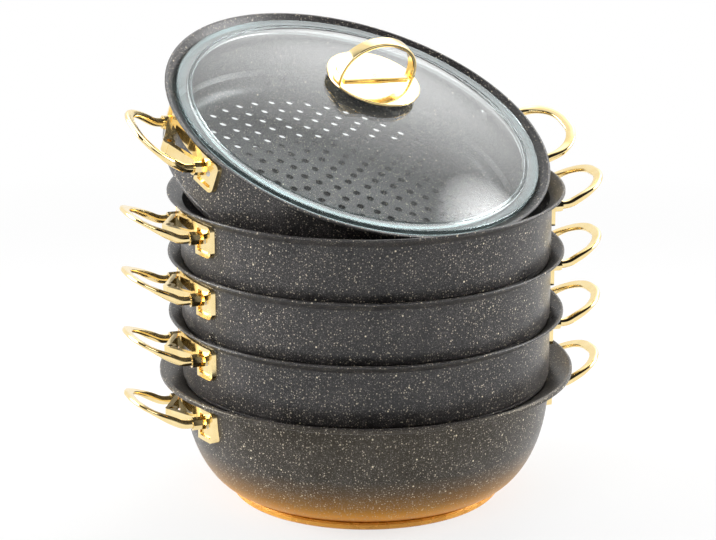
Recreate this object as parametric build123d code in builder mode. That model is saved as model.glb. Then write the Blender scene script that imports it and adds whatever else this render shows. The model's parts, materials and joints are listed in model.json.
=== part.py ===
"""Steamer pot: a rounded base pot, four stacking steamer tiers and a domed glass lid.

Millimetres, +Z up, origin on the pot's axis at the surface it stands on, +X through the
right-hand handles. The top tier, with the lid on it, leans in the mouth of the tier below.
"""
import os
from math import cos, radians, sin, sqrt

from build123d import *

os.makedirs("parts", exist_ok=True)

# Vessel walls
wall = 1.8
wall_radius = 140.0
lip_radius = 150.0
lip_edge = 1.6
flare_height = 7.0
seat_gap = 0.35

# Steamer tiers
tier_count = 4
tier_height = 64.0
corner_radius = 15.0
skirt_inset = 2.6
shoulder_height = 10.35
shoulder_drop = 1.7
taper_height = 8.0
floor_margin = 0.6

# Steam holes, in rings about the middle of each floor
hole_radius = 3.0
hole_sides = 6
hole_rings = 4
hole_ring_step = 26.0
holes_per_ring = 7

# Base pot
base_height = 98.4
base_lip_radius = 157.7
base_flare_height = 9.3
base_lip_drop = 4.0
belly_width = 44.5
belly_depth = 81.2
foot_radius = 103.0
foot_height = 5.5
foot_ease = 1.2

# Handles, the same on every vessel
plate_width = 91.0
plate_height = 24.0
plate_thickness = 3.2
plate_corner = 4.5
pad_width = 21.0
pad_rim = 3.2
pad_recess = 1.7
bar_height = 9.0
plate_drop = 8.6
base_plate_drop = 13.0
socket_spacing = 59.0
socket_radius = 5.2
socket_length = 7.0
socket_depth = 5.0
socket_raise = 0.6
rod_radius = 3.7
rod_sides = 6
rod_gap = 0.15
bow_reach = 190.0
bow_rise = 16.0
bow_run = 14.0
bow_bend = 16.0
bow_corner = 26.0
nose_reach = 17.0
nose_height = 8.5
nose_web = 4.5
nose_tip_radius = 4.6
nose_bore = 1.9
rivet_radius = 2.5
rivet_head_radius = 4.6
rivet_head = 3.2
rivet_sides = 8
trim_depth = 9.0

# Lid
glass = 4.0
glass_ease = 1.0
lid_radius = 141.0
lid_rim_width = 9.0
lid_rim_height = 6.0
dome_rise = 34.0
screw_hole_radius = 4.0
knob_radius = 36.0
knob_plate = 2.2
knob_ease = 0.7
gasket_radius = 30.0
gasket_height = 2.5
arch_span = 66.0
arch_height = 33.0
strap_width = 9.5
strap = 3.0
strap_foot = 2.2
strap_flare = 6.0
screw_radius = 2.6
screw_head_radius = 8.0
screw_head = 3.0
screw_gap = 0.12

# How the top tier leans, and how the lid is turned on it
lean_angle = 23.1
lean_direction = -65.3
lean_pivot_out = 3.2
lean_pivot_up = 129.0
top_turn = 9.0
lid_turn = 12.0

# Worked out from the sizes above
inner_radius = wall_radius - wall
skirt_radius = wall_radius - skirt_inset
corner_center = skirt_radius - corner_radius
floor_radius = corner_center - floor_margin
flare_reach = lip_radius - wall - inner_radius
tier_pitch = tier_height - flare_height + seat_gap - shoulder_height
first_tier = base_height - base_flare_height + seat_gap - shoulder_height
tier_bottoms = [first_tier + tier_pitch * step for step in range(tier_count)]
shoulder_low = shoulder_height - shoulder_drop
taper_top = shoulder_height + taper_height
inner_corner = corner_radius - wall
belly_center = wall_radius - belly_width
belly_top = foot_height + belly_depth
base_floor_radius = belly_center - floor_margin
pad_middle = (plate_width - pad_width) / 2
nose_center = wall_radius + nose_reach - nose_tip_radius / 2
glass_step = lid_radius - lid_rim_width
dome_radius = (glass_step ** 2 + dome_rise ** 2) / (2 * dome_rise)


def tier_shell(rivet_holes):
    """Wall, flared lip, shoulder and rounded corner of one tier, standing on z = 0."""
    shoulder = corner_center + sqrt(corner_radius ** 2 - (corner_radius - shoulder_low) ** 2)
    with BuildPart() as shell:
        with BuildSketch(Plane.XZ):
            with BuildLine():
                Line((floor_radius, 0), (corner_center, 0))
                TangentArc((corner_center, 0), (shoulder, shoulder_low), tangent=(1, 0))
                Polyline(
                    (shoulder, shoulder_low),
                    (inner_radius, shoulder_height),
                    (wall_radius, taper_top),
                    (wall_radius, tier_height - flare_height - wall / 2),
                    (lip_radius, tier_height - lip_edge),
                    (lip_radius, tier_height),
                    (inner_radius + flare_reach, tier_height),
                    (inner_radius, tier_height - flare_height),
                    (inner_radius, taper_top),
                    (corner_center + inner_corner, corner_radius),
                )
                TangentArc((corner_center + inner_corner, corner_radius), (corner_center, wall),
                           tangent=(0, -1))
                Polyline((corner_center, wall), (floor_radius, wall), (floor_radius, 0))
            make_face()
        revolve(axis=Axis.Z)
        add(rivet_holes, mode=Mode.SUBTRACT)
    return shell.part


def tier_floor():
    """Flat floor of one tier, with its rings of steam holes."""
    with BuildPart() as floor:
        with BuildSketch():
            Circle(floor_radius)
            RegularPolygon(hole_radius, hole_sides, mode=Mode.SUBTRACT)
            for ring in range(1, hole_rings + 1):
                with PolarLocations(ring * hole_ring_step, ring * holes_per_ring):
                    RegularPolygon(hole_radius, hole_sides, mode=Mode.SUBTRACT)
        extrude(amount=wall)
    return floor.part


def belly_curve(thinner):
    """Quarter ellipse from the foot up to the straight wall, or the one a wall inside it."""
    EllipticalCenterArc((belly_center, belly_top), belly_width - thinner, belly_depth - thinner,
                        start_angle=270, arc_size=90)


def base_shell(rivet_holes):
    """Base pot: a belly that curves in to the foot, and a wide flared lip turned down."""
    lip_inner = base_lip_radius - wall
    with BuildPart() as shell:
        with BuildSketch(Plane.XZ):
            with BuildLine():
                Line((base_floor_radius, foot_height), (belly_center, foot_height))
                belly_curve(0)
                Polyline(
                    (wall_radius, belly_top),
                    (wall_radius, base_height - base_flare_height - wall / 2),
                    (lip_inner, base_height - wall),
                    (lip_inner, base_height - base_lip_drop),
                    (base_lip_radius, base_height - base_lip_drop),
                    (base_lip_radius, base_height - wall / 2),
                    (lip_inner, base_height),
                    (inner_radius, base_height - base_flare_height),
                    (inner_radius, belly_top),
                )
                belly_curve(wall)
                Polyline((belly_center, foot_height + wall),
                         (base_floor_radius, foot_height + wall),
                         (base_floor_radius, foot_height))
            make_face()
        revolve(axis=Axis.Z)
        add(rivet_holes, mode=Mode.SUBTRACT)
    return shell.part


def base_floor():
    """Plain flat floor of the base pot, lying on the foot."""
    with BuildPart() as floor:
        with BuildSketch(Plane.XY.offset(foot_height)):
            Circle(base_floor_radius)
        extrude(amount=wall)
    return floor.part


def base_foot():
    """Thick disc under the base pot, its lower edge eased."""
    with BuildPart() as foot:
        Cylinder(foot_radius, foot_height, align=(Align.CENTER, Align.CENTER, Align.MIN))
        chamfer(foot.edges().sort_by(Axis.Z)[0], foot_ease)
    return foot.part


def tier_envelope():
    """Space inside a tier's outer wall, which shapes what is fixed against it."""
    with BuildPart() as space:
        Cylinder(wall_radius, tier_height, align=(Align.CENTER, Align.CENTER, Align.MIN))
    return space.part


def base_envelope():
    """Space inside the base pot's outer belly, which shapes what is fixed against it."""
    with BuildPart() as space:
        with BuildSketch(Plane.XZ):
            with BuildLine():
                Line((0, foot_height), (belly_center, foot_height))
                belly_curve(0)
                Polyline((wall_radius, belly_top), (wall_radius, base_height),
                         (0, base_height), (0, foot_height))
            make_face()
        revolve(axis=Axis.Z)
    return space.part


def socket_level(plate_bottom):
    """Height of the sockets' middle, a little above the middle of the plate."""
    return plate_bottom + plate_height / 2 + socket_raise


def bracket(envelope, rivet_holes, plate_bottom):
    """Curved plate with two framed pads, a bar between them, sockets and a bowed nose."""
    level = socket_level(plate_bottom)
    outside = wall_radius + plate_thickness
    with BuildPart() as framing:
        with BuildSketch(Plane.YZ.offset(wall_radius / 2)):
            with Locations((0, plate_bottom + plate_height / 2)):
                RectangleRounded(plate_width, plate_height, plate_corner)
            with Locations((0, plate_bottom + (plate_height - bar_height) / 2)):
                Rectangle(plate_width - 2 * pad_width, plate_height - bar_height,
                          mode=Mode.SUBTRACT)
        extrude(amount=wall_radius)
    with BuildPart() as recess:
        with BuildSketch(Plane.YZ.offset(wall_radius / 2)):
            for side in (-1, 1):
                with Locations((side * pad_middle, plate_bottom + plate_height / 2)):
                    RectangleRounded(pad_width - 2 * pad_rim, plate_height - 2 * pad_rim,
                                     plate_corner - pad_rim)
        extrude(amount=wall_radius)
        with BuildSketch():
            Circle(outside - pad_recess)
        extrude(amount=base_height, mode=Mode.SUBTRACT)
    with BuildPart() as piece:
        with BuildSketch(Plane.XY.offset(plate_bottom)):
            Circle(outside)
        extrude(amount=plate_height)
        add(framing.part, mode=Mode.INTERSECT)
        add(recess.part, mode=Mode.SUBTRACT)
        with BuildSketch(Plane.XY.offset(level - nose_height / 2)):
            with BuildLine():
                nose_outline(socket_spacing / 2, nose_reach)
            make_face()
            with BuildLine():
                nose_outline(socket_spacing / 2 - 2 * nose_web, nose_reach - nose_web)
            make_face(mode=Mode.SUBTRACT)
            with Locations((nose_center, 0)):
                Circle(nose_tip_radius)
        extrude(amount=nose_height)
        with BuildSketch(Plane.XY.offset(level - nose_height / 2)):
            with Locations((nose_center, 0)):
                RegularPolygon(nose_bore, rivet_sides)
        extrude(amount=nose_height, mode=Mode.SUBTRACT)
        with BuildSketch(Plane.YZ.offset(wall_radius - trim_depth)):
            with Locations((-socket_spacing / 2, level), (socket_spacing / 2, level)):
                RegularPolygon(socket_radius, rivet_sides)
        extrude(amount=trim_depth + socket_length)
        with BuildSketch(Plane.YZ.offset(wall_radius + socket_length - socket_depth)):
            with Locations((-socket_spacing / 2, level), (socket_spacing / 2, level)):
                RegularPolygon(rod_radius + rod_gap, rod_sides)
        extrude(amount=socket_depth, mode=Mode.SUBTRACT)
        add(envelope, mode=Mode.SUBTRACT)
        add(rivet_holes, mode=Mode.SUBTRACT)
    return piece.part


def nose_outline(half_width, reach):
    """Blunt wedge, from the wall out to the nose's tip and back."""
    root = wall_radius - trim_depth
    Polyline(
        (root, -half_width),
        (wall_radius + plate_thickness, -half_width),
        (wall_radius + reach, -nose_tip_radius),
        (wall_radius + reach, nose_tip_radius),
        (wall_radius + plate_thickness, half_width),
        (root, half_width),
        (root, -half_width),
    )


def bow(plate_bottom):
    """Bent rod that leaves one socket level, rises outwards and comes back to the other."""
    level = socket_level(plate_bottom)
    side = socket_spacing / 2
    start = wall_radius + socket_length - socket_depth + rod_gap
    bend = wall_radius + bow_run
    reach = bow_reach - rod_radius
    with BuildPart() as rod:
        with BuildLine() as path:
            FilletPolyline(
                (start, side, level),
                (bend, side, level),
                (reach, side, level + bow_rise),
                (reach, -side, level + bow_rise),
                (bend, -side, level),
                (start, -side, level),
                radius=[bow_bend, bow_corner, bow_corner, bow_bend],
            )
        with BuildSketch(Plane(origin=path.line @ 0, x_dir=(0, 1, 0), z_dir=path.line % 0)):
            RegularPolygon(rod_radius, rod_sides)
        sweep()
    return rod.part


def rivet_set(plate_bottom, for_hole):
    """Four rivets, or the four holes they fill, at the middles of the pads."""
    height = socket_level(plate_bottom) - socket_raise
    out = sqrt(wall_radius ** 2 - pad_middle ** 2) / wall_radius
    across = pad_middle / wall_radius
    shank = plate_thickness - pad_recess + wall
    with BuildPart() as rivets:
        for end in (-1, 1):
            for side in (-1, 1):
                direction = Vector(end * out, side * across, 0)
                inner_face = Plane(origin=direction * inner_radius + Vector(0, 0, height),
                                   z_dir=direction)
                with BuildSketch(inner_face):
                    RegularPolygon(rivet_radius, rivet_sides)
                extrude(amount=shank)
                with BuildSketch(inner_face):
                    RegularPolygon(rivet_radius if for_hole else rivet_head_radius, rivet_sides)
                extrude(amount=-rivet_head)
    return rivets.part


def dome_height(radius, drop=0.0):
    """Height of the dome's outer face, or of a face that far under it, at a radius."""
    center = lid_rim_height + dome_rise - dome_radius
    return center + sqrt((dome_radius - drop) ** 2 - radius ** 2)


def dome_arc(first, last, drop=0.0):
    """Arc of the dome's outer face, or of a face that far under it, between two radii."""
    middle = (first + last) / 2
    ThreePointArc(*((radius, dome_height(radius, drop)) for radius in (first, middle, last)))


def lid_glass():
    """Domed glass with a stepped rim, standing with the foot of its rim on z = 0."""
    with BuildPart() as dome:
        with BuildSketch(Plane.XZ):
            with BuildLine():
                Line((screw_hole_radius, dome_height(screw_hole_radius, glass)),
                     (screw_hole_radius, dome_height(screw_hole_radius)))
                dome_arc(screw_hole_radius, glass_step)
                Polyline(
                    (glass_step, lid_rim_height),
                    (lid_radius - glass_ease, lid_rim_height),
                    (lid_radius, lid_rim_height - glass_ease),
                    (lid_radius, lid_rim_height - glass),
                    (glass_step, lid_rim_height - glass),
                    (glass_step - glass_ease, 0),
                    (glass_step - glass, 0),
                    (glass_step - glass, dome_height(glass_step - glass, glass)),
                )
                dome_arc(glass_step - glass, screw_hole_radius, glass)
            make_face()
        revolve(axis=Axis.Z)
    return dome.part


def lid_gasket():
    """Ring between the glass and the knob's plate, its underside following the dome."""
    top = dome_height(0) + gasket_height
    with BuildPart() as ring:
        with BuildSketch(Plane.XZ):
            with BuildLine():
                Polyline(
                    (screw_hole_radius, dome_height(screw_hole_radius)),
                    (screw_hole_radius, top),
                    (gasket_radius, top),
                    (gasket_radius, dome_height(gasket_radius)),
                )
                dome_arc(gasket_radius, screw_hole_radius)
            make_face()
        revolve(axis=Axis.Z)
    return ring.part


def lid_knob_plate():
    """Round gold plate under the knob's arch, with its edge eased and a hole for the screw."""
    bottom = dome_height(0) + gasket_height
    with BuildPart() as plate:
        with BuildSketch(Plane.XY.offset(bottom)):
            Circle(knob_radius)
            Circle(screw_radius + rod_gap, mode=Mode.SUBTRACT)
        extrude(amount=knob_plate)
        chamfer(plate.edges().group_by(Axis.Z)[-1].sort_by(SortBy.LENGTH)[-1], knob_ease)
    return plate.part


def lid_knob_arch():
    """Flat strap bent into an arch, closed along the plate by its foot strap."""
    bottom = dome_height(0) + gasket_height + knob_plate
    half = arch_span / 2
    with BuildPart() as arch:
        with BuildSketch(Plane.XZ.offset(-strap_width / 2)):
            with BuildLine():
                Line((-half, bottom), (half, bottom))
                ThreePointArc((half, bottom), (0, bottom + arch_height), (-half, bottom))
            make_face()
            with BuildLine():
                Line((-half + strap_flare, bottom + strap_foot),
                     (half - strap_flare, bottom + strap_foot))
                ThreePointArc((half - strap_flare, bottom + strap_foot),
                              (0, bottom + arch_height - strap),
                              (-half + strap_flare, bottom + strap_foot))
            make_face(mode=Mode.SUBTRACT)
        extrude(amount=strap_width)
        with BuildSketch(Plane.XY.offset(bottom)):
            Circle(screw_radius + rod_gap)
        extrude(amount=strap_foot, mode=Mode.SUBTRACT)
    return arch.part


def lid_knob_screw():
    """Screw up through the glass and the plate, its wide head and washer under the glass."""
    under = dome_height(0, glass)
    top = dome_height(0) + gasket_height + knob_plate + strap_foot
    with BuildPart() as screw:
        with BuildSketch(Plane.XY.offset(under - screw_head)):
            Circle(screw_head_radius)
        extrude(amount=screw_head - screw_gap)
        with BuildSketch(Plane.XY.offset(under - screw_head)):
            Circle(screw_radius)
        extrude(amount=top - under + screw_head)
    return screw.part


def turned(piece, angle):
    """The piece turned about the pot's axis."""
    return piece.moved(Location((0, 0, 0), (0, 0, angle)))


def handles(shell, envelope, rivet_holes, plate_bottom):
    """Bracket and bow on both sides of a vessel, and the rivets inside its wall."""
    plate = bracket(envelope, rivet_holes, plate_bottom)
    rod = bow(plate_bottom)
    return {
        "bracket_right": plate,
        "bow_right": rod,
        "bracket_left": turned(plate, 180),
        "bow_left": turned(rod, 180),
        "rivets": rivet_set(plate_bottom, False) - shell,
    }


def base_pieces():
    """All the pieces of the base pot."""
    plate_bottom = base_height - base_plate_drop - plate_height
    rivet_holes = rivet_set(plate_bottom, True)
    shell = base_shell(rivet_holes)
    return {"shell": shell, "floor": base_floor(), "foot": base_foot(),
            **handles(shell, base_envelope(), rivet_holes, plate_bottom)}


def tier_pieces():
    """All the pieces of one tier, standing on z = 0."""
    plate_bottom = tier_height - plate_drop - plate_height
    rivet_holes = rivet_set(plate_bottom, True)
    shell = tier_shell(rivet_holes)
    return {"shell": shell, "floor": tier_floor(),
            **handles(shell, tier_envelope(), rivet_holes, plate_bottom)}


def lid_pieces():
    """The glass, and the knob's pieces in the order they are screwed on."""
    return {"glass": lid_glass(), "gasket": lid_gasket(), "knob_plate": lid_knob_plate(),
            "knob_arch": lid_knob_arch(), "knob_screw": lid_knob_screw()}


def lean_axis():
    """Level line across the pot about which the top tier leans in the mouth below it."""
    angle = radians(lean_direction)
    outward = Vector(cos(angle), sin(angle), 0)
    across = Vector(-sin(angle), cos(angle), 0)
    pivot = outward * lean_pivot_out + Vector(0, 0, tier_bottoms[-2] + lean_pivot_up)
    return Axis(tuple(pivot), tuple(across))


def write(vessel, pieces, place):
    """Label each piece of a vessel and write it out where place puts it."""
    for name, piece in pieces.items():
        placed = place(piece)
        placed.label = vessel + "_" + name
        export_step(placed, "parts/" + placed.label + ".step")


write("base", base_pieces(), lambda piece: piece)

tier = tier_pieces()
for number, bottom in enumerate(tier_bottoms[:-1], start=1):
    write("tier_%d" % number, tier, lambda piece: piece.moved(Location((0, 0, bottom))))

lean = lean_axis()
lean_seat = Location((0, 0, tier_bottoms[-1]))
lid_seat = tier_height - flare_height + (lid_radius - inner_radius) * flare_height / flare_reach
lid_place = Location((0, 0, lid_seat + seat_gap - (lid_rim_height - glass)))
write("tier_%d" % tier_count, tier,
      lambda piece: turned(piece, top_turn).moved(lean_seat).rotate(lean, lean_angle))
write("lid", lid_pieces(), lambda piece: turned(piece, lid_turn).moved(
    lid_place).moved(lean_seat).rotate(lean, lean_angle))
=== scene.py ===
"""Steamer pot: the looks of the stacked vessels, their gold handles and the leaning glass lid.

Metres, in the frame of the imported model. Profiles are written in millimetres and scaled once.
"""
import json
import math

import bmesh
import bpy
from mathutils import Matrix, Vector


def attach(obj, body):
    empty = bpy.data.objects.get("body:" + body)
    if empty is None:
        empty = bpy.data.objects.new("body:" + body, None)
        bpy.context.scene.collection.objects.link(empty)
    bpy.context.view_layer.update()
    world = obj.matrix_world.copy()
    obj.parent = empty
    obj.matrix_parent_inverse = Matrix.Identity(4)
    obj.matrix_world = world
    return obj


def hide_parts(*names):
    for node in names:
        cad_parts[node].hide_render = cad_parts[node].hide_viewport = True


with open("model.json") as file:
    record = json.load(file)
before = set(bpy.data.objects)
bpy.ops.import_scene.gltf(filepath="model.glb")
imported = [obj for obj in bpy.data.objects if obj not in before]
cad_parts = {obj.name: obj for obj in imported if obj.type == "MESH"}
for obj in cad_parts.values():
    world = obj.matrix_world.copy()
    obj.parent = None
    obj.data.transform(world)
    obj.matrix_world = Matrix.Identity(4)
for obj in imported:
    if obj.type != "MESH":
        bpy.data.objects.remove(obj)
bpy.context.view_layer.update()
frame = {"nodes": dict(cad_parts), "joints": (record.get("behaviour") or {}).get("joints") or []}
MM = 0.001

# Vessel sizes, in millimetres
WALL = 1.8
WALL_RADIUS = 140.0
INNER_RADIUS = WALL_RADIUS - WALL
LIP_RADIUS = 150.0
LIP_EDGE = 1.6
FLARE_HEIGHT = 7.0
SEAT_GAP = 0.35
TIER_HEIGHT = 64.0
CORNER_RADIUS = 15.0
SKIRT_INSET = 2.6
SHOULDER_HEIGHT = 10.35
SHOULDER_DROP = 1.7
TAPER_TOP = SHOULDER_HEIGHT + 8.0
CORNER_CENTER = WALL_RADIUS - SKIRT_INSET - CORNER_RADIUS
FLOOR_RADIUS = CORNER_CENTER - 0.6
BASE_HEIGHT = 98.4
BASE_LIP_RADIUS = 157.6
BASE_FLARE_HEIGHT = 9.3
BASE_LIP_DROP = 4.0
BELLY_WIDTH = 44.5
BELLY_DEPTH = 81.2
FOOT_RADIUS = 103.0
FOOT_HEIGHT = 5.5

# Steam holes: rings this far apart, each hole this far from the next
HOLE_RADIUS = 2.9
HOLE_PITCH = 15.85
RING_STEP = 11.4
OUTER_RING = 117.4

# Handles
PLATE_HEIGHT = 24.0
PLATE_DROP = 8.6
BASE_PLATE_DROP = 13.0
SOCKET_RAISE = 0.6
SOCKET_SPACING = 59.0
ROD_RADIUS = 3.3
BAND_WIDTH = 7.4
BAND_THICKNESS = 3.4
BOW_START = 142.15
BOW_BEND = 154.0
BOW_REACH = 185.9
BOW_RISE = 16.0
BEND_RADIUS = 16.0
CORNER_BEND = 26.0
PAD_MIDDLE = 35.0

# Lid
GLASS = 4.0
LID_RADIUS = 141.0
RIM_WIDTH = 9.0
RIM_HEIGHT = 6.0
DOME_RISE = 34.0
SCREW_HOLE = 4.0
KNOB_RADIUS = 36.0
KNOB_PLATE = 2.2
GASKET_RADIUS = 30.0
GASKET_HEIGHT = 2.5
ARCH_SPAN = 66.0
ARCH_HEIGHT = 33.0
STRAP_WIDTH = 9.5
STRAP = 3.0
STRAP_FOOT = 2.2

# Rivets
RIVET_SHANK = 2.4
RIVET_HEAD = 4.6
RIVET_LENGTH = 3.3
RIVET_DOME = 1.6

# Screw of the knob
BOLT_RADIUS = 2.6
SCREW_HEAD = 8.0
SCREW_DEPTH = 3.0
SCREW_GAP = 0.12

# How far the edges of the forms are rounded
PRESSED_EASE = 0.9
LIP_EASE = 1.2
GLASS_EASE = 1.1
PLATE_EASE = 0.8
CAST_EASE = 0.6

# Flecks of the coating: cells per metre, dot size, share that shows, colour
SPECKS = (
    (950.0, 0.36, 0.55, (0.27, 0.25, 0.225)),
    (520.0, 0.29, 0.55, (0.60, 0.53, 0.41)),
    (190.0, 0.15, 0.34, (0.95, 0.85, 0.63)),
)

# Where the amber of the base pot fades out, in metres above the ground
FADE_LOW = 0.008
FADE_HIGH = 0.052
FADE_DRIFT = 0.006

# How the top tier leans, and how it and the lid are turned
LEAN_ANGLE = math.radians(23.1)
TOP_TURN = math.radians(9.0)
LID_TURN = math.radians(12.0)

# The photograph's camera, in its own axes: right, away and up
VIEW_TURN = math.radians(-19.0)
VIEW_PITCH = 0.287
VIEW_RIGHT = -6.015
VIEW_BACK = 2188.85
VIEW_UP = 817.15
VIEW_LENS = 151.15

# Lamps: right, away and up from the pot's foot in metres, size, watts, spread in degrees
LAMPS = {
    "side_left": ((-1.3, 0.15, 0.7), (1.1, 1.5), 8, 56),
    "side_right": ((1.3, 0.2, 0.7), (1.0, 1.4), 5, 50),
    "front_fill": ((-0.5, -1.6, 1.5), (1.4, 0.4), 8, 180),
    "back_soft": ((0.46, 1.05, 1.36), (2.2, 2.0), 4.5, 66),
}
LAMP_AIM = Vector((0, 0, 0.16))

ROUND = 256


def level_places():
    """Where each vessel's own base stands, and how the leaning one is turned into place."""
    first = BASE_HEIGHT - BASE_FLARE_HEIGHT + SEAT_GAP - SHOULDER_HEIGHT
    pitch = TIER_HEIGHT - FLARE_HEIGHT + SEAT_GAP - SHOULDER_HEIGHT
    tilt = next(j for j in frame["joints"] if j["name"] == "tier_4_tilt")
    pivot = Vector(tilt["pos_m"])
    swing = (Matrix.Translation(pivot)
             @ Matrix.Rotation(LEAN_ANGLE, 4, Vector(tilt["axis"]))
             @ Matrix.Translation(-pivot))
    places = {"base": Matrix.Identity(4)}
    for number in range(4):
        places["tier_%d" % (number + 1)] = Matrix.Translation(
            Vector((0, 0, (first + pitch * number) * MM)))
    places["lid"] = swing @ places["tier_4"]
    places["tier_4"] = places["lid"] @ Matrix.Rotation(TOP_TURN, 4, "Z")
    return places


PLACES = level_places()


def value(node, name, number):
    """Sets one input of a node."""
    node.inputs[name].default_value = number


def adder(tree):
    """A short way to add nodes to a tree."""
    def add(kind, **settings):
        node = tree.nodes.new(kind)
        for key, setting in settings.items():
            setattr(node, key, setting)
        return node

    return add


def new_material(name):
    """A node material with its surface shader, and short ways to add and link nodes."""
    material = bpy.data.materials.new(name)
    material.use_nodes = True
    tree = material.node_tree
    return material, tree.nodes["Principled BSDF"], adder(tree), tree.links.new


def ramp(add, link, fac, stops):
    """A colour ramp with these (place, grey or colour) stops, driven by a socket."""
    node = add("ShaderNodeValToRGB")
    elements = node.color_ramp.elements
    while len(elements) < len(stops):
        elements.new(0.5)
    for element, (place, color) in zip(elements, stops):
        element.position = place
        if isinstance(color, (int, float)):
            color = (color, color, color)
        element.color = (*color, 1)
    link(fac, node.inputs[0])
    return node.outputs[0]


def noise(add, link, where, scale, detail=2.0):
    """The grey value of a noise texture."""
    node = add("ShaderNodeTexNoise")
    value(node, "Scale", scale)
    value(node, "Detail", detail)
    link(where, node.inputs["Vector"])
    return node.outputs["Fac"]


def reckon(add, link, operation, *items):
    """One step of arithmetic on numbers or sockets."""
    node = add("ShaderNodeMath", operation=operation)
    for index, item in enumerate(items):
        if isinstance(item, bpy.types.NodeSocket):
            link(item, node.inputs[index])
        else:
            node.inputs[index].default_value = item
    return node.outputs[0]


def span(add, link, source, low, high, least=0.0):
    """Maps a socket from low..high to least..1."""
    node = add("ShaderNodeMapRange")
    value(node, "From Min", low)
    value(node, "From Max", high)
    value(node, "To Min", least)
    link(source, node.inputs[0])
    return node.outputs[0]


def mix(add, link, fac, a, b, blend="MIX"):
    """Mixes two colours or sockets, and gives the result's socket."""
    node = add("ShaderNodeMix", data_type="RGBA", blend_type=blend)
    for index, item in ((0, fac), (6, a), (7, b)):
        if isinstance(item, bpy.types.NodeSocket):
            link(item, node.inputs[index])
        elif index == 0:
            node.inputs[index].default_value = item
        else:
            node.inputs[index].default_value = (*item, 1)
    return node.outputs[2]


def bump(add, link, shader, height, strength, distance):
    """Raises the surface by a grey value."""
    node = add("ShaderNodeBump")
    value(node, "Strength", strength)
    value(node, "Distance", distance)
    link(height, node.inputs["Height"])
    link(node.outputs[0], shader.inputs["Normal"])


def specks(add, link, where, scale, size, share):
    """Flecks of enamel: a mask of small uneven dots, of which only a share shows."""
    cells = add("ShaderNodeTexVoronoi", feature="F1")
    value(cells, "Scale", scale)
    link(where, cells.inputs["Vector"])
    dot = ramp(add, link, cells.outputs["Distance"], [(size * 0.72, 1.0), (size, 0.0)])
    pick = add("ShaderNodeSeparateColor")
    link(cells.outputs["Color"], pick.inputs[0])
    keep = reckon(add, link, "LESS_THAN", pick.outputs[0], share)
    shown = reckon(add, link, "MULTIPLY", dot, keep)
    faint = ramp(add, link, pick.outputs[1], [(0.0, 0.35), (1.0, 1.0)])
    return reckon(add, link, "MULTIPLY", shown, faint)


def fade_to_amber(add, link, shader, where, cloud, patches, base):
    """Amber over the lower belly, its upper edge uneven, with a warm metallic sheen."""
    split = add("ShaderNodeSeparateXYZ")
    link(where, split.inputs[0])
    drift = reckon(add, link, "MULTIPLY_ADD", cloud, FADE_DRIFT, split.outputs[2])
    height = span(add, link, drift, FADE_LOW, FADE_HIGH)
    fade = ramp(add, link, height,
                [(0.0, 1.0), (0.22, 0.85), (0.45, 0.36), (0.75, 0.09), (1.0, 0.0)])
    amber = mix(add, link, patches, (0.56, 0.235, 0.006), (0.68, 0.31, 0.010))
    base = mix(add, link, fade, base, amber)
    link(ramp(add, link, fade, [(0.0, 0.0), (0.5, 0.6), (1.0, 0.8)]), shader.inputs["Metallic"])
    value(shader, "Specular Tint", (1.0, 0.88, 0.66, 1))
    warm = ramp(add, link, fade, [(0.0, (1.0, 1.0, 1.0)), (1.0, (1.12, 1.02, 0.90))])
    return mix(add, link, 1.0, base, warm, "MULTIPLY")


def granite(name, ombre=False):
    """Speckled satin coating; on the base pot it fades to amber towards the foot."""
    material, shader, add, link = new_material(name)
    where = add("ShaderNodeTexCoord").outputs["Object"]
    cloud = noise(add, link, where, 38.0, 6.0)
    grain = noise(add, link, where, 950.0, 3.0)
    patches = ramp(add, link, cloud, [(0.32, 0.0), (0.70, 1.0)])
    base = mix(add, link, patches, (0.015, 0.014, 0.0145), (0.036, 0.033, 0.033))
    salt = ramp(add, link, grain, [(0.40, 0.40), (0.66, 1.9)])
    base = mix(add, link, 1.0, base, salt, "MULTIPLY")
    if ombre:
        base = fade_to_amber(add, link, shader, where, cloud, patches, base)
    for scale, size, share, color in SPECKS:
        base = mix(add, link, specks(add, link, where, scale, size, share), base, color)
    link(base, shader.inputs["Base Color"])
    link(ramp(add, link, cloud, [(0.3, 0.27), (0.7, 0.38)]), shader.inputs["Roughness"])
    value(shader, "Specular IOR Level", 0.5)
    bump(add, link, shader, grain, 0.22, 0.0002)
    return material


def gold(name):
    """Polished gold plate, with the faint unevenness of a plated casting."""
    material, shader, add, link = new_material(name)
    where = add("ShaderNodeTexCoord").outputs["Object"]
    waves = noise(add, link, where, 90.0)
    rub = noise(add, link, where, 420.0, 4.0)
    tone = ramp(add, link, waves, [(0.3, (0.93, 0.72, 0.34)), (0.7, (0.98, 0.80, 0.44))])
    link(tone, shader.inputs["Base Color"])
    value(shader, "Metallic", 1.0)
    link(ramp(add, link, rub, [(0.35, 0.09), (0.75, 0.171)]), shader.inputs["Roughness"])
    bump(add, link, shader, waves, 0.06, 0.0004)
    return material


def plain_coat(name, scale, detail, colors, roughness, metallic=0.0):
    """A finish whose colour and roughness drift between two values with one noise."""
    material, shader, add, link = new_material(name)
    drift = noise(add, link, add("ShaderNodeTexCoord").outputs["Object"], scale, detail)
    for socket, (low, high) in (("Base Color", colors), ("Roughness", roughness)):
        link(ramp(add, link, drift, [(0.3, low), (0.7, high)]), shader.inputs[socket])
    value(shader, "Metallic", metallic)
    return material


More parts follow.
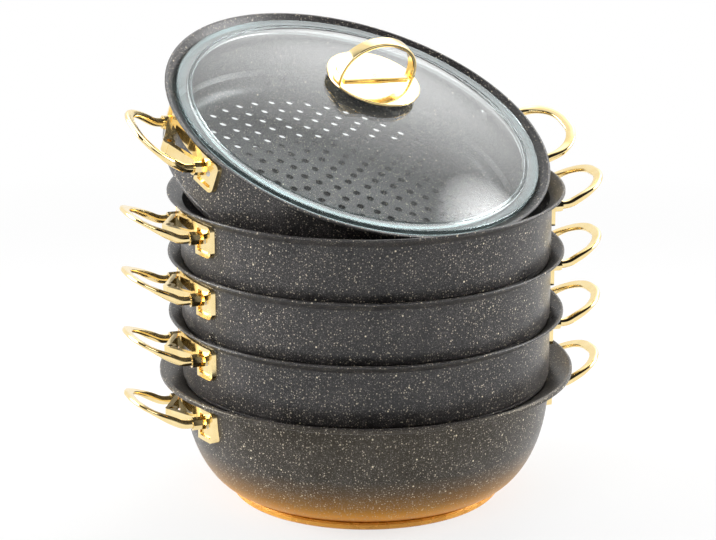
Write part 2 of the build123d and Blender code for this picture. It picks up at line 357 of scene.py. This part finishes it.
def clear_glass(name):
    """Clear tempered glass, teal where the rim is thick, with a faint film of dust."""
    material, shader, add, link = new_material(name)
    film = noise(add, link, add("ShaderNodeTexCoord").outputs["Generated"], 9.0, 4.0)
    tone = ramp(add, link, film, [(0.3, (0.955, 0.985, 0.980)), (0.7, (0.975, 0.992, 0.990))])
    lid = PLACES["lid"]
    offset = add("ShaderNodeVectorMath", operation="SUBTRACT")
    link(add("ShaderNodeTexCoord").outputs["Object"], offset.inputs[0])
    offset.inputs[1].default_value = lid @ Vector((0, 0, 0))
    sideways = add("ShaderNodeVectorMath", operation="CROSS_PRODUCT")
    link(offset.outputs[0], sideways.inputs[0])
    sideways.inputs[1].default_value = lid.to_3x3() @ Vector((0, 0, 1))
    reach = add("ShaderNodeVectorMath", operation="LENGTH")
    link(sideways.outputs[0], reach.inputs[0])
    rim = span(add, link, reach.outputs["Value"],
               (LID_RADIUS - RIM_WIDTH - GLASS) * MM, LID_RADIUS * MM)
    link(mix(add, link, rim, tone, (0.60, 0.84, 0.86)), shader.inputs["Base Color"])
    value(shader, "Transmission Weight", 0.96)
    value(shader, "IOR", 1.46)
    link(ramp(add, link, film, [(0.3, 0.0), (0.8, 0.02)]), shader.inputs["Roughness"])
    return material


MATERIALS = {
    "granite": granite("granite"),
    "granite_ombre": granite("granite_ombre", ombre=True),
    "amber_foot": plain_coat("amber_foot", 60.0, 5.0, ((0.66, 0.31, 0.04), (0.84, 0.43, 0.06)),
                             (0.22, 0.34), 0.25),
    "gold": gold("gold"),
    "steel": plain_coat("steel", 1400.0, 2.0, (0.52, 0.66), (0.18, 0.34), 1.0),
    "gasket": plain_coat("gasket", 300.0, 2.0, ((0.030, 0.030, 0.034), (0.060, 0.058, 0.060)),
                         (0.42, 0.60)),
    "glass": clear_glass("glass"),
}


def finish_piece(name, mesh_edit, slot, body, nodes, place, sharp=35):
    """Links a new piece, in place, with its material and its body, and hides the nodes it stands
    for.
    """
    mesh = bpy.data.meshes.new(name)
    mesh_edit.to_mesh(mesh)
    mesh_edit.free()
    mesh.transform(place)
    mesh.materials.append(MATERIALS[slot])
    piece = bpy.data.objects.new(name, mesh)
    bpy.context.scene.collection.objects.link(piece)
    mesh.shade_smooth()
    mesh.set_sharp_from_angle(angle=math.radians(sharp))
    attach(piece, body)
    if nodes:
        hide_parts(*nodes)
    return piece


def arc(center, radius, start, end, steps=10):
    """Points of a circular arc in a profile, angles in degrees from the +radius axis."""
    points = []
    for step in range(steps + 1):
        angle = math.radians(start + (end - start) * step / steps)
        points.append((center[0] + radius * math.cos(angle), center[1] + radius * math.sin(angle)))
    return points


def eased(points, radius, steps=4):
    """A closed profile with each corner rounded, or less where its sides are short."""
    result = []
    count = len(points)
    for index in range(count):
        here = Vector(points[index])
        before = Vector(points[index - 1]) - here
        after = Vector(points[(index + 1) % count]) - here
        if before.length < 1e-6 or after.length < 1e-6:
            continue
        turn = math.pi - before.angle(after)
        if turn < math.radians(12):
            result.append(tuple(here))
            continue
        reach = min(radius * math.tan(turn / 2), before.length * 0.45, after.length * 0.45)
        start = here + before.normalized() * reach
        end = here + after.normalized() * reach
        for step in range(steps + 1):
            part = step / steps
            point = start * (1 - part) ** 2 + here * 2 * part * (1 - part) + end * part ** 2
            result.append(tuple(point))
    return result


def lathe(profile, steps=None):
    """A solid turned about the Z axis from a closed (radius, height) profile in millimetres."""
    steps = steps or ROUND
    mesh = bmesh.new()
    rings = []
    for radius, height in profile:
        if radius < 1e-6:
            rings.append([mesh.verts.new((0, 0, height * MM))])
            continue
        ring = []
        for step in range(steps):
            angle = 2 * math.pi * step / steps
            ring.append(mesh.verts.new((radius * MM * math.cos(angle),
                                        radius * MM * math.sin(angle), height * MM)))
        rings.append(ring)
    for index, ring in enumerate(rings):
        after = rings[(index + 1) % len(rings)]
        if len(ring) == 1 and len(after) == 1:
            continue
        for step in range(steps):
            near = (step + 1) % steps
            corners = [ring[step % len(ring)], ring[near % len(ring)],
                       after[near % len(after)], after[step % len(after)]]
            unique = list(dict.fromkeys(corners))
            if len(unique) > 2:
                mesh.faces.new(unique)
    bmesh.ops.recalc_face_normals(mesh, faces=mesh.faces)
    return mesh


def corner_reach(height, radius):
    """Radius of a tier's rounded lower corner at a height."""
    return CORNER_CENTER + math.sqrt(radius ** 2 - (CORNER_RADIUS - height) ** 2)


def tier_profile():
    """Lip, wall, seam bead, shoulder and rounded corner of one tier."""
    low = SHOULDER_HEIGHT - SHOULDER_DROP
    low_angle = -math.degrees(math.asin((CORNER_RADIUS - low) / CORNER_RADIUS))
    inner_corner = CORNER_RADIUS - WALL
    flare_reach = LIP_RADIUS - WALL - INNER_RADIUS
    points = [(FLOOR_RADIUS, 0)]
    points += arc((CORNER_CENTER, CORNER_RADIUS), CORNER_RADIUS, -90, low_angle)
    points += eased([
        (corner_reach(low, CORNER_RADIUS), low),
        (INNER_RADIUS, SHOULDER_HEIGHT),
        (INNER_RADIUS + 0.5, SHOULDER_HEIGHT + 2.0),
        (INNER_RADIUS + 0.2, SHOULDER_HEIGHT + 2.9),
        (WALL_RADIUS - 0.2, SHOULDER_HEIGHT + 4.4),
        (WALL_RADIUS, TAPER_TOP),
        (WALL_RADIUS, TIER_HEIGHT - FLARE_HEIGHT - WALL / 2),
        (LIP_RADIUS, TIER_HEIGHT - LIP_EDGE),
        (LIP_RADIUS, TIER_HEIGHT),
        (INNER_RADIUS + flare_reach, TIER_HEIGHT),
        (INNER_RADIUS, TIER_HEIGHT - FLARE_HEIGHT),
        (INNER_RADIUS, TAPER_TOP),
        (CORNER_CENTER + inner_corner, CORNER_RADIUS),
        (FLOOR_RADIUS, CORNER_RADIUS),
    ], PRESSED_EASE)[5:-5]
    points += arc((CORNER_CENTER, CORNER_RADIUS), inner_corner, 0, -90)
    points.append((FLOOR_RADIUS, WALL))
    return points


def base_profile():
    """Belly, wall and turned-down lip of the base pot."""
    center = WALL_RADIUS - BELLY_WIDTH
    top = FOOT_HEIGHT + BELLY_DEPTH
    lip_inner = BASE_LIP_RADIUS - WALL
    points = [(0, FOOT_HEIGHT)]
    for step in range(25):
        angle = math.pi / 2 * (1 - step / 24)
        points.append((center + BELLY_WIDTH * math.cos(angle), top - BELLY_DEPTH * math.sin(angle)))
    points += eased([
        (WALL_RADIUS, top - 10),
        (WALL_RADIUS, BASE_HEIGHT - BASE_FLARE_HEIGHT - WALL / 2),
        (lip_inner, BASE_HEIGHT - WALL),
        (lip_inner, BASE_HEIGHT - BASE_LIP_DROP),
        (BASE_LIP_RADIUS, BASE_HEIGHT - BASE_LIP_DROP),
        (BASE_LIP_RADIUS, BASE_HEIGHT - WALL / 2),
        (lip_inner, BASE_HEIGHT),
        (INNER_RADIUS, BASE_HEIGHT - BASE_FLARE_HEIGHT),
        (INNER_RADIUS, top - 10),
        (0, top - 10),
    ], LIP_EASE)[5:-5]
    for step in range(25):
        angle = math.pi / 2 * step / 24
        points.append((center + (BELLY_WIDTH - WALL) * math.cos(angle),
                       top - (BELLY_DEPTH - WALL) * math.sin(angle)))
    points.append((0, FOOT_HEIGHT + WALL))
    return points


def foot_profile():
    """Foot disc, with the fine line between it and the belly."""
    return eased([
        (0, 0), (FOOT_RADIUS - 1.2, 0), (FOOT_RADIUS, 1.2), (FOOT_RADIUS, FOOT_HEIGHT - 1.4),
        (FOOT_RADIUS - 0.7, FOOT_HEIGHT - 1.1), (FOOT_RADIUS - 0.7, FOOT_HEIGHT - 0.8),
        (FOOT_RADIUS, FOOT_HEIGHT - 0.5), (FOOT_RADIUS - 0.5, FOOT_HEIGHT), (0, FOOT_HEIGHT),
    ], 0.3)


def floor_mesh():
    """Flat floor with rings of round steam holes, their edges eased, from a filled curve."""
    curve = bpy.data.curves.new("floor_outline", "CURVE")
    curve.dimensions = "2D"
    curve.fill_mode = "BOTH"
    ease = 0.25

    def circle(x, y, radius, steps):
        spline = curve.splines.new("POLY")
        spline.points.add(steps - 1)
        for step in range(steps):
            angle = 2 * math.pi * step / steps
            spline.points[step].co = ((x + radius * math.cos(angle)) * MM,
                                      (y + radius * math.sin(angle)) * MM, 0, 1)
        spline.use_cyclic_u = True

    circle(0, 0, FLOOR_RADIUS - ease, ROUND)
    rings = int(OUTER_RING / RING_STEP)
    for ring in range(rings + 1):
        reach = OUTER_RING - ring * RING_STEP
        count = max(1, round(2 * math.pi * reach / HOLE_PITCH))
        if count == 1:
            reach = 0
        for hole in range(count):
            angle = 2 * math.pi * (hole + 0.5 * (ring % 2)) / count
            circle(reach * math.cos(angle), reach * math.sin(angle), HOLE_RADIUS + ease, 14)
    curve.extrude = (WALL / 2 - ease) * MM
    curve.bevel_depth = ease * MM
    curve.bevel_resolution = 0
    holder = bpy.data.objects.new("floor_outline", curve)
    mesh = bpy.data.meshes.new_from_object(holder)
    mesh.transform(Matrix.Translation((0, 0, WALL / 2 * MM)))
    result = bmesh.new()
    result.from_mesh(mesh)
    bmesh.ops.remove_doubles(result, verts=result.verts, dist=1e-6)
    bpy.data.meshes.remove(mesh)
    bpy.data.objects.remove(holder)
    bpy.data.curves.remove(curve)
    return result


def socket_level(vessel):
    """Height of the handles' sockets above a vessel's own base."""
    if vessel == "base":
        return BASE_HEIGHT - BASE_PLATE_DROP - PLATE_HEIGHT / 2 + SOCKET_RAISE
    return TIER_HEIGHT - PLATE_DROP - PLATE_HEIGHT / 2 + SOCKET_RAISE


def rounded_path(points, radii, steps=10):
    """A path through the points with a true arc at each inner one."""
    path = [Vector(points[0])]
    for index in range(1, len(points) - 1):
        here = Vector(points[index])
        before = (Vector(points[index - 1]) - here).normalized()
        after = (Vector(points[index + 1]) - here).normalized()
        half = before.angle(after) / 2
        radius = radii[index - 1]
        start = here + before * (radius / math.tan(half))
        middle = here + (before + after).normalized() * (radius / math.sin(half))
        first = start - middle
        second = here + after * (radius / math.tan(half)) - middle
        normal = first.cross(second).normalized()
        sweep = first.angle(second)
        for step in range(steps + 1):
            turn = Matrix.Rotation(sweep * step / steps, 3, normal)
            path.append(middle + turn @ first)
    path.append(Vector(points[-1]))
    return path


def resampled(path, count):
    """The path cut into even steps."""
    lengths = [0.0]
    for a, b in zip(path, path[1:]):
        lengths.append(lengths[-1] + (b - a).length)
    result = []
    index = 0
    for step in range(count + 1):
        goal = lengths[-1] * step / count
        while index < len(path) - 2 and lengths[index + 1] < goal:
            index += 1
        span = lengths[index + 1] - lengths[index]
        part = (goal - lengths[index]) / span if span > 1e-9 else 0
        result.append(path[index].lerp(path[index + 1], min(1, part)))
    return result


def bow_mesh(level):
    """Bent rod, round where it leaves the sockets and a broad flat band across its tip."""
    side = SOCKET_SPACING / 2
    path = rounded_path([
        (BOW_START, side, level), (BOW_BEND, side, level),
        (BOW_REACH, side, level + BOW_RISE), (BOW_REACH, -side, level + BOW_RISE),
        (BOW_BEND, -side, level), (BOW_START, -side, level),
    ], [BEND_RADIUS, CORNER_BEND, CORNER_BEND, BEND_RADIUS], 14)
    path = resampled(path, 84)
    around = 20
    slope = math.atan2(BOW_RISE, BOW_REACH - BOW_BEND)
    up = Vector((-math.sin(slope), 0, math.cos(slope)))
    mesh = bmesh.new()
    rings = []
    for index, point in enumerate(path):
        ahead = path[min(index + 1, len(path) - 1)] - path[max(index - 1, 0)]
        ahead.normalize()
        part = index / (len(path) - 1)
        band = min(1.0, max(0.0, (0.5 - abs(part - 0.5) - 0.14) / 0.16))
        band = band * band * (3 - 2 * band)
        out = ahead.cross(up).normalized()
        lift = out.cross(ahead).normalized()
        wide = ROD_RADIUS * (1 - band) + BAND_WIDTH / 2 * band
        thick = ROD_RADIUS * (1 - band) + BAND_THICKNESS / 2 * band
        power = 2 + 1.6 * band
        ring = []
        for step in range(around):
            angle = 2 * math.pi * step / around
            c, s = math.cos(angle), math.sin(angle)
            x = math.copysign(abs(c) ** (2 / power), c) * thick
            y = math.copysign(abs(s) ** (2 / power), s) * wide
            ring.append(mesh.verts.new((point + lift * x + out * y) * MM))
        rings.append(ring)
    for ring, after in zip(rings, rings[1:]):
        for step in range(around):
            near = (step + 1) % around
            mesh.faces.new((ring[step], ring[near], after[near], after[step]))
    mesh.faces.new(list(reversed(rings[0])))
    mesh.faces.new(rings[-1])
    bmesh.ops.recalc_face_normals(mesh, faces=mesh.faces)
    return mesh


def dome_height(radius, drop=0.0):
    """Height of the lid's dome at a radius, above the foot of its rim."""
    step = LID_RADIUS - RIM_WIDTH
    sphere = (step ** 2 + DOME_RISE ** 2) / (2 * DOME_RISE)
    center = RIM_HEIGHT + DOME_RISE - sphere
    return center + math.sqrt((sphere - drop) ** 2 - radius ** 2)


def lid_profile():
    """Dome and stepped rim of the glass, every edge fire-polished round."""
    step = LID_RADIUS - RIM_WIDTH
    outer = [(SCREW_HOLE + (step - SCREW_HOLE) * part / 30) for part in range(31)]
    inner = [(SCREW_HOLE + (step - GLASS - SCREW_HOLE) * part / 30) for part in range(30, -1, -1)]
    points = [(radius, dome_height(radius)) for radius in outer]
    points += eased([
        (step, dome_height(step) + 1),
        (step, RIM_HEIGHT),
        (LID_RADIUS, RIM_HEIGHT),
        (LID_RADIUS, RIM_HEIGHT - GLASS),
        (step, RIM_HEIGHT - GLASS),
        (step - 1, 0),
        (step - GLASS, 0),
        (step - GLASS, dome_height(step - GLASS, GLASS)),
        (step - 2 * GLASS, RIM_HEIGHT),
    ], GLASS_EASE)[5:-10]
    points += [(radius, dome_height(radius, GLASS)) for radius in inner]
    return points


def lid_lift():
    """Height of the foot of the lid's rim above the top tier's own base."""
    flare_reach = LIP_RADIUS - WALL - INNER_RADIUS
    seat = TIER_HEIGHT - FLARE_HEIGHT + (LID_RADIUS - INNER_RADIUS) * FLARE_HEIGHT / flare_reach
    return seat + SEAT_GAP - (RIM_HEIGHT - GLASS)


def knob_arch_mesh(bottom):
    """Flat strap bent into an arch, its feet flared a little, closed by a strap on the plate."""
    half = ARCH_SPAN / 2
    top = ARCH_HEIGHT - STRAP / 2
    path = []
    for step in range(49):
        angle = math.pi * step / 48
        x = math.cos(angle) * (half - STRAP * 0.4)
        z = math.sin(angle) ** 0.82 * top
        path.append(Vector((x, 0, bottom + z)))
    low = bottom + STRAP_FOOT / 2
    closing = [Vector((x, 0, low)) for x in (-half + 5, -half / 2, 0, half / 2, half - 5)]
    mesh = bmesh.new()
    strap_mesh(mesh, path, STRAP_WIDTH, STRAP)
    strap_mesh(mesh, closing, STRAP_WIDTH * 0.94, STRAP_FOOT)
    bmesh.ops.recalc_face_normals(mesh, faces=mesh.faces)
    return mesh


def strap_mesh(mesh, path, width, thick):
    """Adds a flat strap with round edges along a path in the XZ plane."""
    corner = min(width, thick) * 0.3
    outline = eased([(-thick / 2, -width / 2), (thick / 2, -width / 2),
                     (thick / 2, width / 2), (-thick / 2, width / 2)], corner, 3)
    rings = []
    for index, point in enumerate(path):
        ahead = (path[min(index + 1, len(path) - 1)] - path[max(index - 1, 0)]).normalized()
        out = Vector((ahead.z, 0, -ahead.x))
        ring = []
        for x, y in outline:
            spot = point + out * x + Vector((0, y, 0))
            ring.append(mesh.verts.new(spot * MM))
        rings.append(ring)
    for ring, after in zip(rings, rings[1:]):
        for step in range(len(ring)):
            near = (step + 1) % len(ring)
            mesh.faces.new((ring[step], ring[near], after[near], after[step]))
    mesh.faces.new(list(reversed(rings[0])))
    mesh.faces.new(rings[-1])


def rivets_mesh(level):
    """Domed rivet heads inside the wall at the middle of every pad."""
    mesh = bmesh.new()
    profile = [(0, 0), (RIVET_SHANK, 0), (RIVET_SHANK, RIVET_LENGTH), (RIVET_HEAD, RIVET_LENGTH)]
    profile += [(RIVET_HEAD * math.cos(angle), RIVET_LENGTH + RIVET_DOME * math.sin(angle))
                for angle in (math.pi / 2 * step / 6 for step in range(1, 6))]
    profile.append((0, RIVET_LENGTH + RIVET_DOME))
    across = PAD_MIDDLE / WALL_RADIUS
    out = math.sqrt(1 - across ** 2)
    for end in (-1, 1):
        for side in (-1, 1):
            one = lathe(profile, 24)
            direction = Vector((end * out, side * across, 0))
            turn = direction.to_track_quat("-Z", "Y").to_matrix().to_4x4()
            spot = direction * (WALL_RADIUS + 1.5) * MM + Vector((0, 0, (level - SOCKET_RAISE) * MM))
            bmesh.ops.transform(one, matrix=Matrix.Translation(spot) @ turn, verts=one.verts)
            joined = bpy.data.meshes.new("rivet")
            one.to_mesh(joined)
            one.free()
            mesh.from_mesh(joined)
            bpy.data.meshes.remove(joined)
    return mesh


def make_bracket(name, body):
    """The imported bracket's own form with its cast edges rounded, in gold."""
    mesh = frame["nodes"][name].data.copy()
    mesh.materials.clear()
    mesh.materials.append(MATERIALS["gold"])
    piece = bpy.data.objects.new("skin_" + name, mesh)
    bpy.context.scene.collection.objects.link(piece)
    ease = piece.modifiers.new("ease", "BEVEL")
    ease.width = CAST_EASE * MM
    ease.segments = 3
    ease.limit_method = "ANGLE"
    ease.angle_limit = math.radians(32)
    mesh.shade_smooth()
    mesh.set_sharp_from_angle(angle=math.radians(40))
    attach(piece, body)
    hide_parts(name)


def make_vessels():
    """Shell, floor or foot, bows and rivets of each vessel."""
    for vessel in ("base", "tier_1", "tier_2", "tier_3", "tier_4"):
        body = "base_pot" if vessel == "base" else vessel
        place = PLACES[vessel]
        level = socket_level(vessel)
        if vessel == "base":
            finish_piece("skin_base_shell", lathe(base_profile()), "granite_ombre", body,
                         ["base_shell", "base_floor"], place)
            finish_piece("skin_base_foot", lathe(foot_profile()), "amber_foot", body,
                         ["base_foot"], place)
        else:
            finish_piece("skin_%s_shell" % vessel, lathe(tier_profile()), "granite", body,
                         [vessel + "_shell"], place)
            finish_piece("skin_%s_floor" % vessel, floor_mesh(), "granite", body,
                         [vessel + "_floor"], place)
        for side, angle in (("right", 0), ("left", math.pi)):
            turn = Matrix.Rotation(angle, 4, "Z")
            node = "%s_bow_%s" % (vessel, side)
            finish_piece("skin_" + node, bow_mesh(level), "gold", body, [node], place @ turn, 50)
            make_bracket("%s_bracket_%s" % (vessel, side), body)
        finish_piece("skin_%s_rivets" % vessel, rivets_mesh(level), "steel", body,
                     [vessel + "_rivets"], place)


def make_lid():
    """Glass, gasket, plate, arch and screw."""
    place = PLACES["lid"] @ Matrix.Rotation(LID_TURN, 4, "Z") @ Matrix.Translation(
        (0, 0, lid_lift() * MM))
    finish_piece("skin_lid_glass", lathe(lid_profile()), "glass", "lid", ["lid_glass"], place)
    bottom = dome_height(0)
    top = bottom + GASKET_HEIGHT
    ring = [(SCREW_HOLE, top), (GASKET_RADIUS, top)]
    ring += [(radius, dome_height(radius) + 0.02)
             for radius in (GASKET_RADIUS, GASKET_RADIUS * 0.7, GASKET_RADIUS * 0.4, SCREW_HOLE)]
    finish_piece("skin_lid_gasket", lathe(eased(ring, 0.6)), "gasket", "lid", ["lid_gasket"], place)
    plate = eased([(2.7, top), (KNOB_RADIUS, top), (KNOB_RADIUS, top + KNOB_PLATE),
                   (2.7, top + KNOB_PLATE)], PLATE_EASE)
    finish_piece("skin_lid_knob_plate", lathe(plate), "gold", "lid", ["lid_knob_plate"], place)
    arch = knob_arch_mesh(top + KNOB_PLATE)
    finish_piece("skin_lid_knob_arch", arch, "gold", "lid", ["lid_knob_arch"], place, 50)
    under = dome_height(0, GLASS)
    end = top + KNOB_PLATE + STRAP_FOOT
    screw = eased([(0, under - SCREW_DEPTH), (SCREW_HEAD - 1.5, under - SCREW_DEPTH),
                   (SCREW_HEAD, under - 1.6), (SCREW_HEAD, under - SCREW_GAP),
                   (BOLT_RADIUS, under - SCREW_GAP), (BOLT_RADIUS, end), (0, end)], 0.5)
    finish_piece("skin_lid_knob_screw", lathe(screw, 48), "steel", "lid", ["lid_knob_screw"], place)


def floor_material():
    """Plain pale studio floor, white to the eye and in gloss and glass, with a soft shadow."""
    material, shader, add, link = new_material("studio_floor")
    value(shader, "Base Color", (0.80, 0.80, 0.80, 1))
    value(shader, "Roughness", 0.9)
    path = add("ShaderNodeLightPath").outputs
    seen = reckon(add, link, "MAXIMUM", path["Is Camera Ray"], path["Is Glossy Ray"])
    seen = reckon(add, link, "MAXIMUM", seen, path["Is Transmission Ray"])
    reach = add("ShaderNodeVectorMath", operation="LENGTH")
    link(add("ShaderNodeTexCoord").outputs["Object"], reach.inputs[0])
    spread = span(add, link, reach.outputs["Value"], 0.3, 1.0, 0.72)
    share = reckon(add, link, "MULTIPLY", seen, spread)
    white = add("ShaderNodeEmission")
    blend = add("ShaderNodeMixShader")
    link(share, blend.inputs[0])
    link(shader.outputs[0], blend.inputs[1])
    link(white.outputs[0], blend.inputs[2])
    output = material.node_tree.nodes["Material Output"]
    link(blend.outputs[0], output.inputs["Surface"])
    return material


def area_light(name, spot, size, power, spread):
    """A soft rectangular light that points at the pot."""
    light = bpy.data.lights.new(name, "AREA")
    light.shape = "RECTANGLE"
    light.size, light.size_y = size
    light.energy = power
    light.spread = math.radians(spread)
    lamp = bpy.data.objects.new(name, light)
    lamp.location = spot
    lamp.rotation_euler = (LAMP_AIM - spot).to_track_quat("-Z", "Y").to_euler()
    bpy.context.scene.collection.objects.link(lamp)


def camera_axes():
    """The camera's right and away directions along the floor, in the model's frame."""
    turn = Matrix.Rotation(VIEW_TURN, 3, "Z")
    return turn @ Vector((1, 0, 0)), turn @ Vector((0, 1, 0))


def studio_world(away):
    """White behind the object and all along the horizon, dark above and in front of it."""
    world = bpy.data.worlds.new("studio")
    world.use_nodes = True
    tree = world.node_tree
    add, link = adder(tree), tree.links.new
    where = add("ShaderNodeTexCoord").outputs["Generated"]
    side = add("ShaderNodeVectorMath", operation="DOT_PRODUCT")
    link(where, side.inputs[0])
    side.inputs[1].default_value = tuple(away)
    behind = span(add, link, side.outputs["Value"], -1, 1)
    tone = ramp(add, link, behind, [(0.42, (0.012, 0.012, 0.014)), (0.60, 1.0)])
    split = add("ShaderNodeSeparateXYZ")
    link(where, split.inputs[0])
    horizon = ramp(add, link, split.outputs[2], [(0.12, 1.0), (0.25, 0.0)])
    color = mix(add, link, horizon, tone, (1.0, 1.0, 1.0))
    link(color, tree.nodes["Background"].inputs["Color"])
    value(tree.nodes["Background"], "Strength", 1.0)
    return world


def make_stage():
    """Floor, soft lights at both sides and behind, and the camera at the photo's angle."""
    right, away = camera_axes()
    scene = bpy.context.scene
    bpy.ops.mesh.primitive_plane_add(size=30, location=(0, 0, 0))
    ground = bpy.context.object
    ground.name = "studio_floor"
    ground.data.materials.append(floor_material())
    scene.world = studio_world(away)
    for name, ((sideways, back, up), size, power, spread) in LAMPS.items():
        spot = right * sideways + away * back + Vector((0, 0, up))
        area_light(name, spot, size, power, spread)
    view = bpy.data.cameras.new("view")
    view.sensor_fit = "HORIZONTAL"
    view.sensor_width = 36.0
    view.lens = VIEW_LENS
    view.clip_start = 0.05
    view.clip_end = 60
    eye = bpy.data.objects.new("view", view)
    eye.location = (right * VIEW_RIGHT - away * VIEW_BACK + Vector((0, 0, VIEW_UP))) * MM
    eye.rotation_euler = (math.pi / 2 - VIEW_PITCH, 0, VIEW_TURN)
    scene.collection.objects.link(eye)
    scene.camera = eye
    scene.view_settings.view_transform = "Standard"


make_vessels()
make_lid()
make_stage()
